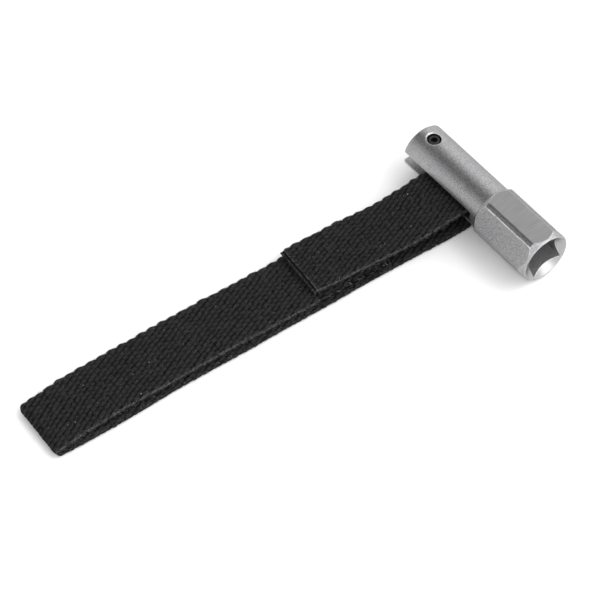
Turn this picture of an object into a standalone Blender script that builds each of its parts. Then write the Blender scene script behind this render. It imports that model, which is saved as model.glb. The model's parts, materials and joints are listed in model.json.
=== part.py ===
"""Strap wrench for oil filters and pipes: a turned and milled steel drive body with a slotted
shank, one loop of heavy webbing sewn with a lap joint, and a retaining set screw.

Working axes, before the whole tool is moved onto its resting surface:
  +X runs along the steel body, from the open end of its slot to its square drive,
  +Z is up, square to the slot, and the set screw is on this line,
  -Y is where the flattened loop of webbing lies.
The zero of these axes is on the body's axis, at the open end of the slot.
"""

import math

import bmesh
import bpy
from mathutils import Vector

MM = 0.001

# Steel drive body
BODY_LENGTH = 70.8 * MM
SHANK_LENGTH = 41.7 * MM
SHANK_RADIUS = 9.35 * MM
SHANK_END_CHAMFER = 0.6 * MM
HEX_BAR_RADIUS = 11.55 * MM
HEX_ACROSS_FLATS = 21.0 * MM
HEX_FRONT_FACE_RADIUS = 10.15 * MM
HEX_REAR_FACE_RADIUS = 10.2 * MM
HEX_CHAMFER_SLOPE = 0.65
SLOT_LENGTH = 38.6 * MM
SLOT_HEIGHT = 5.1 * MM
DEBURR = 0.12 * MM

# Square drive socket
SQUARE_ACROSS_FLATS = 12.95 * MM
SQUARE_TURN = math.radians(15.0)
SQUARE_DEPTH = 20.0 * MM
PILOT_DEPTH = 23.0 * MM
PILOT_RADIUS = 6.3 * MM
COUNTERSINK_RADIUS = 9.65 * MM
COUNTERSINK_SLOPE = 1.5
GROOVE_RADIUS = 7.25 * MM
GROOVE_START = 5.9 * MM
GROOVE_WIDTH = 4.0 * MM

# Retaining set screw, square across the slot
SCREW_X = 6.7 * MM
SCREW_RADIUS = 2.5 * MM
SCREW_LENGTH = 12.0 * MM
SCREW_TOP = 8.75 * MM
SCREW_CHAMFER = 0.4 * MM
KEY_ACROSS_FLATS = 2.5 * MM
KEY_DEPTH = 2.4 * MM
HOLE_MOUTH_RADIUS = 3.15 * MM
DRILL_POINT_DEPTH = 1.0 * MM

# Webbing
WEB_WIDTH = 25.0 * MM
WEB_THICKNESS = 2.2 * MM
WEB_EDGE_CHAMFER = 0.5 * MM
LOOP_REACH = 188.0 * MM
LIFT_Y = -12.0 * MM
MID_BEND_Y = -84.0 * MM
TIP_BEND_Y = -136.0 * MM
LAP_END_Y = -73.0 * MM
LAP_START_Y = -41.0 * MM
WRAP_CORNER_RADIUS = 1.5 * MM
FOLD_SKEW_ALLOWANCE = 0.1 * MM

# Lap stitching, a box of thread round the lap
STITCH_WIDTH = 0.8 * MM
STITCH_THICKNESS = 0.3 * MM
STITCH_SPAN_X = 15.0 * MM
STITCH_FIRST_Y = -68.5 * MM
STITCH_LAST_Y = -44.0 * MM

# Clear space between pieces that touch, and half of it on each side of a bend line
GAP = 0.3 * MM
HALF_GAP = GAP / 2

# Heights that follow from the sizes above
LAYER = WEB_THICKNESS + GAP
RUN_HALF = WEB_THICKNESS / 2
FLOOR_Z = -(SHANK_RADIUS + GAP + WEB_THICKNESS)
LOWER_Z = FLOOR_Z + RUN_HALF
UPPER_Z = LOWER_Z + LAYER
LAP_TOP_Z = UPPER_Z + LAYER
SLOT_WEB_Z = -0.7 * MM

# Middle of the webbing seen from above, as (y, x): it leaves the slot square to the body
# and drifts sideways towards the fold
PLAN = [
    (-190.0 * MM, 12.4 * MM), (-160.0 * MM, 12.9 * MM), (-125.0 * MM, 14.5 * MM),
    (-90.0 * MM, 17.0 * MM), (-60.0 * MM, 19.4 * MM), (-35.0 * MM, 21.9 * MM),
    (-16.0 * MM, 23.0 * MM), (12.0 * MM, 23.0 * MM),
]
# Middle of the top layer seen from the side, as (y, z): out of the slot and down onto the lap
TOP_LAYER = [
    (LIFT_Y, SLOT_WEB_Z), (-17.0 * MM, -1.05 * MM), (-28.0 * MM, -2.65 * MM),
    (LAP_START_Y, -4.15 * MM), (-56.0 * MM, -5.25 * MM), (LAP_END_Y, LAP_TOP_Z),
]

# The wrap's middle line: a small corner arc out of the slot, then a ring round the prong
WRAP_RING = SHANK_RADIUS + GAP + RUN_HALF
WRAP_CORNER_Z = SLOT_WEB_Z - WRAP_CORNER_RADIUS
WRAP_CORNER_Y = math.sqrt((WRAP_RING - WRAP_CORNER_RADIUS) ** 2 - WRAP_CORNER_Z**2)

# The tool's place: its box is centred over the origin and its webbing lies on z = 0
BOX_LOW_X = PLAN[0][1] - WEB_WIDTH / 2
BOX_LOW_Y = -LOOP_REACH - FOLD_SKEW_ALLOWANCE
BOX_HIGH_Y = WRAP_CORNER_Y + WRAP_CORNER_RADIUS + RUN_HALF
TOOL_PLACE = Vector((
    -(BOX_LOW_X + BODY_LENGTH) / 2,
    -(BOX_LOW_Y + BOX_HIGH_Y) / 2,
    -FLOOR_Z,
))

# How far a cutter reaches past the surface that it cuts
PAST = 2.0 * MM

# How finely curves are drawn
ROUND_STEPS = 96
SCREW_STEPS = 48
FOLD_STEPS = 10
WRAP_STEPS = 14
CORNER_STEPS = 8
TOP_LAYER_STEPS = 24
UNDERLAY_STEPS = 12
NEAR_RUN_STEPS = 16
MID_RUN_STEPS = 12
FAR_RUN_STEPS = 8
SLOT_RUN_STEPS = 6
SHORT_RUN_STEPS = 3
SLOPE_STEP = 0.5 * MM

# Edges that bend by more than these angles are drawn sharp, or are deburred
SHARP_STEEL_ANGLE = math.radians(30)
SHARP_WEB_ANGLE = math.radians(40)
DEBURR_ANGLE = math.radians(25)

# Colours
BRIGHT_STEEL = (0.45, 0.45, 0.45)
BLACK = (0.03, 0.03, 0.032)
BLACK_CLOTH = (0.018, 0.018, 0.019)


def clear_scene():
    for item in list(bpy.data.objects):
        bpy.data.objects.remove(item, do_unlink=True)


def make_material(name, color, roughness, metallic):
    material = bpy.data.materials.new(name)
    material.use_nodes = True
    shader = material.node_tree.nodes["Principled BSDF"]
    shader.inputs["Base Color"].default_value = (*color, 1.0)
    shader.inputs["Roughness"].default_value = roughness
    shader.inputs["Metallic"].default_value = metallic
    material.diffuse_color = (*color, 1.0)
    return material


def add_object(name, mesh_data, parent, material=None):
    """Put a finished bmesh in the scene, with its origin where the mesh's zero is."""
    bmesh.ops.recalc_face_normals(mesh_data, faces=mesh_data.faces)
    mesh = bpy.data.meshes.new(name)
    mesh_data.to_mesh(mesh)
    mesh_data.free()
    item = bpy.data.objects.new(name, mesh)
    bpy.context.scene.collection.objects.link(item)
    item.parent = parent
    if material:
        mesh.materials.append(material)
    return item


def smooth_but(item, sharp_angle):
    """Draw the object's faces smooth, except over edges that bend by more than the angle."""
    item.data.shade_smooth()
    item.data.set_sharp_from_angle(angle=sharp_angle)


def add_empty(name, place, parent=None):
    empty = bpy.data.objects.new(name, None)
    bpy.context.scene.collection.objects.link(empty)
    empty.location = place
    empty.parent = parent
    return empty


def as_cutter(item):
    item.hide_render = True
    item.display_type = "WIRE"
    return item


def add_boolean(item, cutter, operation="DIFFERENCE"):
    modifier = item.modifiers.new(cutter.name, "BOOLEAN")
    modifier.operation = operation
    modifier.solver = "EXACT"
    modifier.object = cutter


def spline_value(points, at):
    """Smooth curve through (position, value) points: a Hermite spline with averaged slopes."""
    points = sorted(points)
    slopes = []
    for index in range(len(points)):
        before = points[max(index - 1, 0)]
        after = points[min(index + 1, len(points) - 1)]
        slopes.append((after[1] - before[1]) / (after[0] - before[0]))
    at = min(max(at, points[0][0]), points[-1][0])
    index = max(i for i in range(len(points) - 1) if points[i][0] <= at)
    (start, low), (end, high) = points[index], points[index + 1]
    step = end - start
    t = (at - start) / step
    return ((2 * t**3 - 3 * t**2 + 1) * low + (t**3 - 2 * t**2 + t) * step * slopes[index]
            + (3 * t**2 - 2 * t**3) * high + (t**3 - t**2) * step * slopes[index + 1])


def plan_x(y):
    return spline_value(PLAN, y)


def across(y):
    """Level direction across the webbing at y, square to its run."""
    slope = (plan_x(y + SLOPE_STEP) - plan_x(y - SLOPE_STEP)) / (2 * SLOPE_STEP)
    return Vector((1.0, -slope, 0.0)).normalized()


def top_layer_z(y):
    return spline_value(TOP_LAYER, y)


def turned(name, profile, parent, steps=ROUND_STEPS):
    """Closed solid of revolution about X from (x, radius) points that start and end on the axis."""
    data = bmesh.new()
    rings = []
    for x, radius in profile:
        if radius == 0.0:
            rings.append([data.verts.new((x, 0.0, 0.0))])
            continue
        turn = [2 * math.pi * k / steps for k in range(steps)]
        rings.append([data.verts.new((x, radius * math.cos(a), radius * math.sin(a))) for a in turn])
    for first, second in zip(rings, rings[1:]):
        for k in range(steps):
            corners = {first[k % len(first)]: None, first[(k + 1) % len(first)]: None,
                       second[(k + 1) % len(second)]: None, second[k % len(second)]: None}
            data.faces.new(list(corners))
    return add_object(name, data, parent)


def prism(name, outline, low, high, parent):
    """Closed prism along X over an outline of (y, z) points."""
    data = bmesh.new()
    ends = [[data.verts.new((x, y, z)) for y, z in outline] for x in (low, high)]
    data.faces.new(ends[0])
    data.faces.new(list(reversed(ends[1])))
    for k in range(len(outline)):
        after = (k + 1) % len(outline)
        data.faces.new((ends[0][k], ends[1][k], ends[1][after], ends[0][after]))
    return add_object(name, data, parent)


def regular_outline(sides, across_flats, turn):
    corner = across_flats / 2 / math.cos(math.pi / sides)
    angles = [turn + 2 * math.pi * k / sides for k in range(sides)]
    return [(corner * math.cos(a), corner * math.sin(a)) for a in angles]


def band(name, route, parent, material):
    """Length of flat webbing along a route of (y, z) points, with chamfered selvedges."""
    half_width, half_thick, edge = WEB_WIDTH / 2, WEB_THICKNESS / 2, WEB_EDGE_CHAMFER
    section = [
        (-half_width, -half_thick + edge), (-half_width + edge, -half_thick),
        (half_width - edge, -half_thick), (half_width, -half_thick + edge),
        (half_width, half_thick - edge), (half_width - edge, half_thick),
        (-half_width + edge, half_thick), (-half_width, half_thick - edge),
    ]
    data = bmesh.new()
    rings = []
    for index, (y, z) in enumerate(route):
        before, after = route[max(index - 1, 0)], route[min(index + 1, len(route) - 1)]
        side = across(y)
        normal = Vector((0.0, before[1] - after[1], after[0] - before[0])).normalized()
        if index in (0, len(route) - 1):
            normal = Vector((0.0, 0.0, math.copysign(1.0, normal.z)))
        normal = (normal - side * normal.dot(side)).normalized()
        centre = Vector((plan_x(y), y, z))
        rings.append([data.verts.new(centre + side * a + normal * b) for a, b in section])
    for first, second in zip(rings, rings[1:]):
        for k in range(len(section)):
            after = (k + 1) % len(section)
            data.faces.new((first[k], first[after], second[after], second[k]))
    data.faces.new(rings[0])
    data.faces.new(list(reversed(rings[-1])))
    # The mesh is drawn in the tool's axes, then its zero is moved to the bend line of its parent
    bmesh.ops.translate(data, verts=data.verts, vec=-parent_offset(parent))
    item = add_object(name, data, parent, material)
    smooth_but(item, SHARP_WEB_ANGLE)
    return item


def parent_offset(parent):
    """Place of a parent empty in the tool's axes."""
    offset = Vector((0.0, 0.0, 0.0))
    while parent.parent:
        offset = offset + parent.location
        parent = parent.parent
    return offset


def even_steps(start, end, pieces):
    return [start + (end - start) * k / pieces for k in range(pieces + 1)]


def level_route(start, end, z, pieces):
    return [(y, z) for y in even_steps(start, end, pieces)]


def arc_route(centre, radius, start, end, pieces):
    """Points of an arc in the side view, as (y, z), with angles from +Y towards +Z."""
    angles = even_steps(start, end, pieces)
    return [(centre[0] + radius * math.cos(a), centre[1] + radius * math.sin(a)) for a in angles]


def body_profile():
    """Turned blank of the drive body, as (x, radius)."""
    front_cone = (HEX_BAR_RADIUS - HEX_FRONT_FACE_RADIUS) / HEX_CHAMFER_SLOPE
    rear_cone = (HEX_BAR_RADIUS - HEX_REAR_FACE_RADIUS) / HEX_CHAMFER_SLOPE
    return [
        (0.0, 0.0),
        (0.0, SHANK_RADIUS - SHANK_END_CHAMFER),
        (SHANK_END_CHAMFER, SHANK_RADIUS),
        (SHANK_LENGTH, SHANK_RADIUS),
        (SHANK_LENGTH, HEX_REAR_FACE_RADIUS),
        (SHANK_LENGTH + rear_cone, HEX_BAR_RADIUS),
        (BODY_LENGTH - front_cone, HEX_BAR_RADIUS),
        (BODY_LENGTH, HEX_FRONT_FACE_RADIUS),
        (BODY_LENGTH, 0.0),
    ]


def socket_profile():
    """Turned part of the socket: countersink, pilot bore and drill point, as (x, radius)."""
    mouth = BODY_LENGTH + PAST
    pilot_end = BODY_LENGTH - PILOT_DEPTH
    slant_end = BODY_LENGTH - (COUNTERSINK_RADIUS - PILOT_RADIUS) / COUNTERSINK_SLOPE
    return [
        (pilot_end - PILOT_RADIUS / math.sqrt(3), 0.0),
        (pilot_end, PILOT_RADIUS),
        (slant_end, PILOT_RADIUS),
        (mouth, COUNTERSINK_RADIUS + PAST * COUNTERSINK_SLOPE),
        (mouth, 0.0),
    ]


def make_drive_body(tool, steel):
    body = turned("drive_body", body_profile(), tool)
    body.data.materials.append(steel)

    hexagon = prism("hex_bar", regular_outline(6, HEX_ACROSS_FLATS, 0.0), -PAST,
                    BODY_LENGTH + PAST, tool)
    add_boolean(body, as_cutter(hexagon), "INTERSECT")

    half = SLOT_HEIGHT / 2
    wide = SHANK_RADIUS + PAST
    slot = prism("slot_cut", [(-wide, -half), (wide, -half), (wide, half), (-wide, half)],
                 -PAST, SLOT_LENGTH, tool)
    add_boolean(body, as_cutter(slot))

    square = prism("square_cut", regular_outline(4, SQUARE_ACROSS_FLATS, SQUARE_TURN + math.pi / 4),
                   BODY_LENGTH - SQUARE_DEPTH, BODY_LENGTH + PAST, tool)
    add_boolean(body, as_cutter(square))
    add_boolean(body, as_cutter(turned("socket_cut", socket_profile(), tool)))

    groove_low = BODY_LENGTH - GROOVE_START - GROOVE_WIDTH
    groove = [(groove_low, 0.0), (groove_low, GROOVE_RADIUS),
              (groove_low + GROOVE_WIDTH, GROOVE_RADIUS), (groove_low + GROOVE_WIDTH, 0.0)]
    add_boolean(body, as_cutter(turned("groove_cut", groove, tool)))

    hole = turned("screw_hole_cut", screw_hole_profile(), tool, SCREW_STEPS)
    hole.location = (SCREW_X, 0.0, 0.0)
    hole.rotation_euler = (0.0, -math.pi / 2, 0.0)
    add_boolean(body, as_cutter(hole))

    deburr = body.modifiers.new("deburr", "BEVEL")
    deburr.width = DEBURR
    deburr.segments = 1
    deburr.limit_method = "ANGLE"
    deburr.angle_limit = DEBURR_ANGLE
    smooth_but(body, SHARP_STEEL_ANGLE)


def screw_hole_profile():
    """Hole through the upper prong and pocket in the lower one, as (height, radius)."""
    radius = SCREW_RADIUS + GAP
    mouth = HOLE_MOUTH_RADIUS - radius
    top = SHANK_RADIUS + PAST
    bottom = SCREW_TOP - SCREW_LENGTH - GAP
    return [
        (bottom - DRILL_POINT_DEPTH, 0.0),
        (bottom, radius),
        (SHANK_RADIUS - mouth, radius),
        (SHANK_RADIUS, HOLE_MOUTH_RADIUS),
        (top, HOLE_MOUTH_RADIUS + PAST),
        (top, 0.0),
    ]


def make_screw(tool, black_steel):
    """Socket set screw, its zero on its own axis at its top face."""
    pivot = add_empty("screw_axis", (SCREW_X, 0.0, SCREW_TOP), tool)
    profile = [
        (-SCREW_LENGTH, 0.0),
        (-SCREW_LENGTH, SCREW_RADIUS - 2 * SCREW_CHAMFER),
        (-SCREW_LENGTH + 2 * SCREW_CHAMFER, SCREW_RADIUS),
        (-SCREW_CHAMFER, SCREW_RADIUS),
        (0.0, SCREW_RADIUS - SCREW_CHAMFER),
        (0.0, 0.0),
    ]
    screw = turned("retaining_screw", profile, pivot, SCREW_STEPS)
    screw.rotation_euler = (0.0, -math.pi / 2, 0.0)
    screw.data.materials.append(black_steel)
    key = prism("key_cut", regular_outline(6, KEY_ACROSS_FLATS, 0.0), -KEY_DEPTH, MM, pivot)
    key.rotation_euler = screw.rotation_euler
    add_boolean(screw, as_cutter(key))
    smooth_but(screw, SHARP_STEEL_ANGLE)


def wrap_route():
    """Through the slot, round the outside of the lower prong and back underneath it."""
    corner = (WRAP_CORNER_Y, WRAP_CORNER_Z)
    meeting = math.atan2(WRAP_CORNER_Z, WRAP_CORNER_Y)
    route = level_route(LIFT_Y + HALF_GAP, WRAP_CORNER_Y, SLOT_WEB_Z, SLOT_RUN_STEPS)
    route += arc_route(corner, WRAP_CORNER_RADIUS, math.pi / 2, meeting, CORNER_STEPS)[1:]
    route += arc_route((0.0, 0.0), WRAP_RING, meeting, -math.pi / 2, WRAP_STEPS)[1:]
    route += level_route(0.0, LIFT_Y + HALF_GAP, LOWER_Z, SHORT_RUN_STEPS)[1:]
    return route


def top_layer_route():
    stations = even_steps(LIFT_Y - HALF_GAP, LAP_END_Y, TOP_LAYER_STEPS)
    return [(y, top_layer_z(y)) for y in stations]


def underlay_route():
    """The layer under the lap, from its hidden cut end to the middle bend line."""
    stations = even_steps(LAP_START_Y, LAP_END_Y, UNDERLAY_STEPS)
    route = [(y, top_layer_z(y) - LAYER) for y in stations]
    return route + level_route(LAP_END_Y, MID_BEND_Y + HALF_GAP, UPPER_Z, SHORT_RUN_STEPS)[1:]


def fold_route():
    radius = (UPPER_Z - LOWER_Z) / 2
    turn_y = -LOOP_REACH + radius + RUN_HALF
    centre = (turn_y, LOWER_Z + radius)
    route = level_route(TIP_BEND_Y - HALF_GAP, turn_y, UPPER_Z, FAR_RUN_STEPS)
    route += arc_route(centre, radius, math.pi / 2, 3 * math.pi / 2, FOLD_STEPS)[1:]
    route += level_route(turn_y, TIP_BEND_Y - HALF_GAP, LOWER_Z, FAR_RUN_STEPS)[1:]
    return route


def make_strap(tool, webbing):
    lift = bend_empty("lift_axis", LIFT_Y, SLOT_WEB_Z + RUN_HALF, tool)
    mid = bend_empty("mid_bend_axis", MID_BEND_Y, UPPER_Z + RUN_HALF, lift)
    tip = bend_empty("tip_bend_axis", TIP_BEND_Y, UPPER_Z + RUN_HALF, mid)

    band("strap_wrap", wrap_route(), tool, webbing)
    band("strap_top_layer", top_layer_route(), lift, webbing)
    band("strap_lap_underlay", underlay_route(), lift, webbing)
    near_run = level_route(LIFT_Y - HALF_GAP, MID_BEND_Y + HALF_GAP, LOWER_Z, NEAR_RUN_STEPS)
    band("strap_near_lower", near_run, lift, webbing)
    for name, height in (("strap_mid_upper", UPPER_Z), ("strap_mid_lower", LOWER_Z)):
        run = level_route(MID_BEND_Y - HALF_GAP, TIP_BEND_Y + HALF_GAP, height, MID_RUN_STEPS)
        band(name, run, mid, webbing)
    band("strap_far_fold", fold_route(), tip, webbing)
    return lift


def bend_empty(name, y, z, parent):
    """Empty on a bend line, given in the tool's axes."""
    return add_empty(name, Vector((plan_x(y), y, z)) - parent_offset(parent), parent)


def make_stitching(lift, thread):
    """Box of thread, a thin flat frame laid on the slope of the lap's top layer."""
    length = STITCH_LAST_Y - STITCH_FIRST_Y
    data = bmesh.new()
    for grow in (STITCH_WIDTH / 2, -STITCH_WIDTH / 2):
        x, y = STITCH_SPAN_X / 2 + grow, length / 2 + grow
        outline = [(-x, -y), (x, -y), (x, y), (-x, y)]
        corners = [data.verts.new((*corner, 0.0)) for corner in outline]
        for k in range(len(corners)):
            data.edges.new((corners[k], corners[(k + 1) % len(corners)]))
    bmesh.ops.triangle_fill(data, use_beauty=True, edges=data.edges[:])
    made = bmesh.ops.extrude_face_region(data, geom=data.faces[:], use_keep_orig=True)
    moved = [part for part in made["geom"] if isinstance(part, bmesh.types.BMVert)]
    bmesh.ops.translate(data, verts=moved, vec=(0.0, 0.0, STITCH_THICKNESS))

    stitching = add_object("lap_stitching", data, lift, thread)
    middle_y = (STITCH_FIRST_Y + STITCH_LAST_Y) / 2
    middle_z = (top_layer_z(STITCH_FIRST_Y) + top_layer_z(STITCH_LAST_Y)) / 2 + RUN_HALF + GAP
    rise = top_layer_z(STITCH_LAST_Y) - top_layer_z(STITCH_FIRST_Y)
    side = across(middle_y)
    stitching.location = Vector((plan_x(middle_y), middle_y, middle_z)) - parent_offset(lift)
    stitching.rotation_euler = (math.atan2(rise, length), 0.0, math.atan2(side.y, side.x))


def main():
    clear_scene()
    steel = make_material("satin_steel", BRIGHT_STEEL, roughness=0.38, metallic=1.0)
    black_steel = make_material("black_oxide_steel", BLACK, roughness=0.45, metallic=1.0)
    webbing = make_material("black_webbing", BLACK_CLOTH, roughness=0.9, metallic=0.0)
    thread = make_material("black_thread", BLACK, roughness=0.6, metallic=0.0)

    tool = add_empty("tool", TOOL_PLACE)
    make_drive_body(tool, steel)
    make_screw(tool, black_steel)
    lift = make_strap(tool, webbing)
    make_stitching(lift, thread)


main()
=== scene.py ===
import json
import math

import bpy
import numpy as np
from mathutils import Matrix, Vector

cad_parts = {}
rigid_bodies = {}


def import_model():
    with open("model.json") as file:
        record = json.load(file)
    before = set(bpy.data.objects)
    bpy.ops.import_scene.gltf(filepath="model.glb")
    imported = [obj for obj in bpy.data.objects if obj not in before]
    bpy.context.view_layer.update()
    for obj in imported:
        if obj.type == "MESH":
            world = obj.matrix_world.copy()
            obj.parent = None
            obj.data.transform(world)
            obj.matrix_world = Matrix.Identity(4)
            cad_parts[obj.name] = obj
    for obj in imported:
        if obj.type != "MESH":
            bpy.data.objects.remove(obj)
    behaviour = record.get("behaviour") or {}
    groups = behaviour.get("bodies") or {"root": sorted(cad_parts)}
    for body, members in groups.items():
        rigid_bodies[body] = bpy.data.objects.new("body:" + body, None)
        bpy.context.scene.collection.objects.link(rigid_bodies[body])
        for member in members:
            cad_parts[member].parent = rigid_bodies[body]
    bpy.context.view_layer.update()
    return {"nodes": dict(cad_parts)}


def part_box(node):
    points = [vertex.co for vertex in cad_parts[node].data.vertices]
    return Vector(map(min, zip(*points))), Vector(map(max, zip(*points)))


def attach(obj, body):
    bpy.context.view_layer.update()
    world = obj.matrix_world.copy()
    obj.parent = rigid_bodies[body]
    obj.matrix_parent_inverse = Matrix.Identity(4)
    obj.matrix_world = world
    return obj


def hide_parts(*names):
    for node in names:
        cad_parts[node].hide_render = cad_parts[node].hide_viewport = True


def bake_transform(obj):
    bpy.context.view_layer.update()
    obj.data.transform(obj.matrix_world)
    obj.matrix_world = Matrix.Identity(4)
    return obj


for leftover in list(bpy.data.objects):
    bpy.data.objects.remove(leftover)

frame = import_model()

MM = 0.001
NODES = frame["nodes"]

# The working zero is on the body's axis at its slotted end: +X to the square drive, +Z up, the strap goes to -Y.
# Everything below is in millimetres from there, and only the meshes themselves are in metres.
body_low, body_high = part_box("drive_body")
screw_low, screw_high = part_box("retaining_screw")
ZERO = Vector((body_low.x, (body_low.y + body_high.y) / 2, (body_low.z + body_high.z) / 2))
SCREW_AXIS_X = (screw_low.x + screw_high.x) / 2  # in metres, as the steel's material reads it

# ---------------------------------------------------------------- the webbing's sizes and route
WEB_WIDTH = 25.0
UPPER_WIDTH = 25.4
WEB_HALF_THICKNESS = 1.06
RING_STEP = 0.3  # between two rings of points along the webbing
COLUMN_STEP = 0.29  # between two points across it
EDGE_SEGMENTS = 8  # round each selvedge

# side view: heights of the middle line, its turns, and where it starts and ends
LOWER_Z = -10.75
UPPER_Z = -8.25
SLOT_Z = -0.7
WRAP_RADIUS = 10.75
CORNER_RADIUS = 1.5
CORNER_Y = 8.985
CORNER_Z = -2.2
FOLD_Y = -185.65
CUT_Y = -73.0
HIDDEN_END_Y = -41.0
SLOT_START_Y = -12.0
SLOT_MOUTH_Y = -9.0
TOP_LAYER = [(-73, -5.75), (-56, -5.25), (-41, -4.15), (-28, -2.65), (-17, -1.05), (-12, -0.7), (0, -0.7)]
LAYER_STEP = 2.5  # from the lap's upper layer down to the one under it

# plan view: (y, x) of the strap, how far each run lies beside that line, and the lap's width, as (y, mm)
PLAN = [(-190, 12.4), (-160, 12.9), (-125, 14.5), (-90, 17.0), (-60, 19.4), (-35, 21.9), (-16, 23.0), (12, 23.0)]
UPPER_SHIFT = [
    (-190, 0.1), (-186, 0.0), (-175, -0.5), (-158, -0.8), (-140, -0.5), (-120, -0.6),
    (-108, -0.75), (-95, -0.45), (-80, -0.6), (-60, -0.6), (-40, -0.5),
]
LOWER_SHIFT = [
    (-190, 0.2), (-186, 0.3), (-176, 0.9), (-166, 1.45), (-150, 1.5), (-138, 1.2), (-120, 1.25), (-105, 1.25),
    (-90, 0.85), (-73, 0.65), (-62, 0.3), (-50, -0.35), (-40, -0.6), (-30, -0.7), (-22, -0.5), (-12, -0.1), (12, 0.0),
]
TOP_SHIFT = [(-73, -2.3), (-60, -2.2), (-48, -1.75), (-36, -0.8), (-25, -0.05), (-12, 0.2), (12, 0.0)]
TOP_WIDTH = [(-73, 23.6), (-60, 24.4), (-36, 24.5), (-12, 24.6), (12, 25.0)]

# the fold's line across the strap has a slope of its own, and the webbing is pinched a little there
FOLD_SLOPE = 0.052
FOLD_PINCH = 0.9
FOLD_SLOPE_FULL_Y = -184
FOLD_SLOPE_NONE_Y = -174

ROUTE_STEP = 0.5
CORNER_POINTS = 12
WRAP_POINTS = 40
FOLD_POINTS = 17
SHORTEST_STEP = 1e-4
TANGENT_REACH = 0.35  # on each side of a point, for its direction
WIDTH_REACH = 16


def curve(points, x):
    """A smooth curve through the points, read at x, with its slope there."""
    xs = np.array([p[0] for p in points], float)
    ys = np.array([p[1] for p in points], float)
    secant = np.diff(ys) / np.diff(xs)
    slope = np.concatenate([[secant[0]], (secant[1:] + secant[:-1]) / 2, [secant[-1]]])
    x = np.clip(np.asarray(x, float), xs[0], xs[-1])
    i = np.clip(np.searchsorted(xs, x) - 1, 0, len(xs) - 2)
    h = xs[i + 1] - xs[i]
    t = (x - xs[i]) / h
    value = (
        ys[i] * (2 * t**3 - 3 * t**2 + 1)
        + ys[i + 1] * (3 * t**2 - 2 * t**3)
        + slope[i] * h * (t**3 - 2 * t**2 + t)
        + slope[i + 1] * h * (t**3 - t**2)
    )
    rate = (
        (ys[i + 1] - ys[i]) * (6 * t - 6 * t**2) / h
        + slope[i] * (3 * t**2 - 4 * t + 1)
        + slope[i + 1] * (3 * t**2 - 2 * t)
    )
    return value, rate


def smooth(a, b, x):
    """0 at a and 1 at b, with a soft start and stop; a may be above b."""
    t = np.clip((x - a) / (b - a), 0, 1)
    return t * t * (3 - 2 * t)


def bell(x, width):
    return np.exp(-((x / width) ** 2))


def strap_route():
    """The webbing's middle line, as rows of x, y, z, the slope of the across direction, and the width.

    It goes from the cut end over the lap into the slot, round the lower prong, back to the fold, and under the lap.
    """
    parts = []

    def add(y, z, shift_points):
        y, z = np.asarray(y, float), np.asarray(z, float)
        x, slope = curve(PLAN, y)
        dx, dslope = curve(shift_points, y)
        at_fold = 1 - smooth(FOLD_SLOPE_FULL_Y, FOLD_SLOPE_NONE_Y, y)
        slope = (slope + dslope) * (1 - at_fold) + FOLD_SLOPE * at_fold
        if shift_points is TOP_SHIFT:
            width = curve(TOP_WIDTH, y)[0]
        else:
            width = np.full(len(y), UPPER_WIDTH if shift_points is UPPER_SHIFT else WEB_WIDTH)
        parts.append(np.stack([x + dx, y, z, slope, width], 1))

    y = np.arange(CUT_Y, SLOT_START_Y, ROUTE_STEP)
    add(y, curve(TOP_LAYER, y)[0], TOP_SHIFT)
    y = np.arange(SLOT_START_Y, CORNER_Y, ROUTE_STEP)
    add(y, np.full(len(y), SLOT_Z), TOP_SHIFT)
    start, end = math.pi / 2, math.atan2(CORNER_Z, CORNER_Y)
    a = np.linspace(start, end, CORNER_POINTS)
    add(CORNER_Y + CORNER_RADIUS * np.cos(a), CORNER_Z + CORNER_RADIUS * np.sin(a), TOP_SHIFT)
    a = np.linspace(end, -math.pi / 2, WRAP_POINTS)[1:]
    add(WRAP_RADIUS * np.cos(a), WRAP_RADIUS * np.sin(a), LOWER_SHIFT)
    y = np.arange(-ROUTE_STEP, FOLD_Y, -ROUTE_STEP)
    add(y, np.full(len(y), LOWER_Z), LOWER_SHIFT)
    fold_radius = (UPPER_Z - LOWER_Z) / 2
    a = np.linspace(-math.pi / 2, -3 * math.pi / 2, FOLD_POINTS)
    add(FOLD_Y + fold_radius * np.cos(a), LOWER_Z + fold_radius + fold_radius * np.sin(a), LOWER_SHIFT)
    over = smooth(0, 1, np.linspace(0, 1, len(a)))
    parts[-1][:, 0] += (curve(UPPER_SHIFT, FOLD_Y)[0] - curve(LOWER_SHIFT, FOLD_Y)[0]) * over
    parts[-1][:, 4] += (UPPER_WIDTH - WEB_WIDTH) * over - FOLD_PINCH * np.sin(math.pi * over)
    y = np.arange(FOLD_Y + ROUTE_STEP, HIDDEN_END_Y, ROUTE_STEP)
    under = curve(TOP_LAYER, y)[0] - LAYER_STEP
    add(y, np.where(y < CUT_Y, UPPER_Z, under), UPPER_SHIFT)
    rows = np.concatenate(parts)
    steps = np.linalg.norm(np.diff(rows[:, :3], axis=0), axis=1)
    return rows[np.concatenate([[True], steps > SHORTEST_STEP])]


ROUTE = strap_route()
ROUTE_S = np.concatenate([[0], np.cumsum(np.linalg.norm(np.diff(ROUTE[:, :3], axis=0), axis=1))])
STRAP_LENGTH = float(ROUTE_S[-1])


def route_at(s):
    """Middle line, across, and outward directions at arc lengths s."""

    def point(along):
        return np.stack([np.interp(along, ROUTE_S, ROUTE[:, i]) for i in range(3)], 1)

    s = np.asarray(s, float)
    p, ahead, behind = point(s), point(s + TANGENT_REACH), point(s - TANGENT_REACH)
    slope = np.interp(s, ROUTE_S, ROUTE[:, 3])
    a = np.stack([np.ones_like(slope), -slope, np.zeros_like(slope)], 1)
    a /= np.linalg.norm(a, axis=1)[:, None]
    t = ahead - behind
    t -= (a * t).sum(1)[:, None] * a
    t /= np.linalg.norm(t, axis=1)[:, None]
    n = np.cross(a, t)
    return p, a, n


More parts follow.
